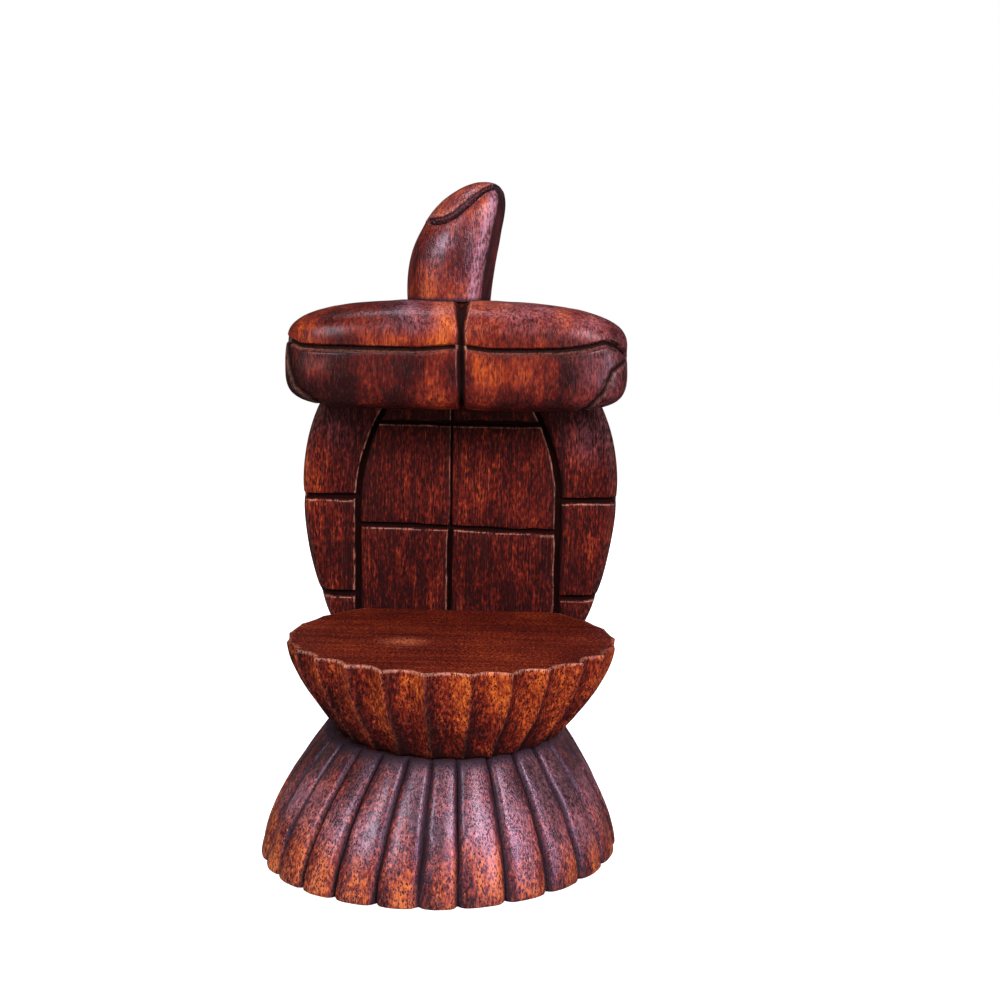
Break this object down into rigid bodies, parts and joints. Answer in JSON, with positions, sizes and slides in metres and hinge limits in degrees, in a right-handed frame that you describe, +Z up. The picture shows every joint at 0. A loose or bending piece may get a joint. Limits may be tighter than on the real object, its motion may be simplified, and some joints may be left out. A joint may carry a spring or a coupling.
{
  "type": "headrest",
  "caption": "Carved wooden headrest shaped like a turtle: fluted bowl seat on a reeded foot, upright shell panel, crossbar of folded flippers and a head on top.",
  "frame": {"origin": "middle of the foot's flat underside, on the surface the object stands on", "axes": "+Z up, -Y to the front where the bowl faces, +X to the object's right as seen from the front"},
  "size_m": [0.1243, 0.1261, 0.2303],
  "materials": {
    "foot_wood": "waxed, red-brown stain",
    "seat_wood": "waxed, red-brown stain",
    "shell_wood": "waxed, red-brown stain",
    "crossbar_wood": "polished wax, red-brown stain",
    "head_wood": "polished wax, red-brown stain",
    "dowel_wood": "plain turned beech"
  },
  "bodies": {
    "root": {"base_foot": "foot_wood", "seat_bowl": "seat_wood", "shell_back": "shell_wood", "crossbar": "crossbar_wood", "head": "head_wood", "foot_dowel_left": "dowel_wood", "foot_dowel_right": "dowel_wood", "shell_dowel_left": "dowel_wood", "shell_dowel_right": "dowel_wood", "crossbar_dowel_left": "dowel_wood", "crossbar_dowel_right": "dowel_wood", "head_dowel": "dowel_wood"}
  },
  "joints": []
}
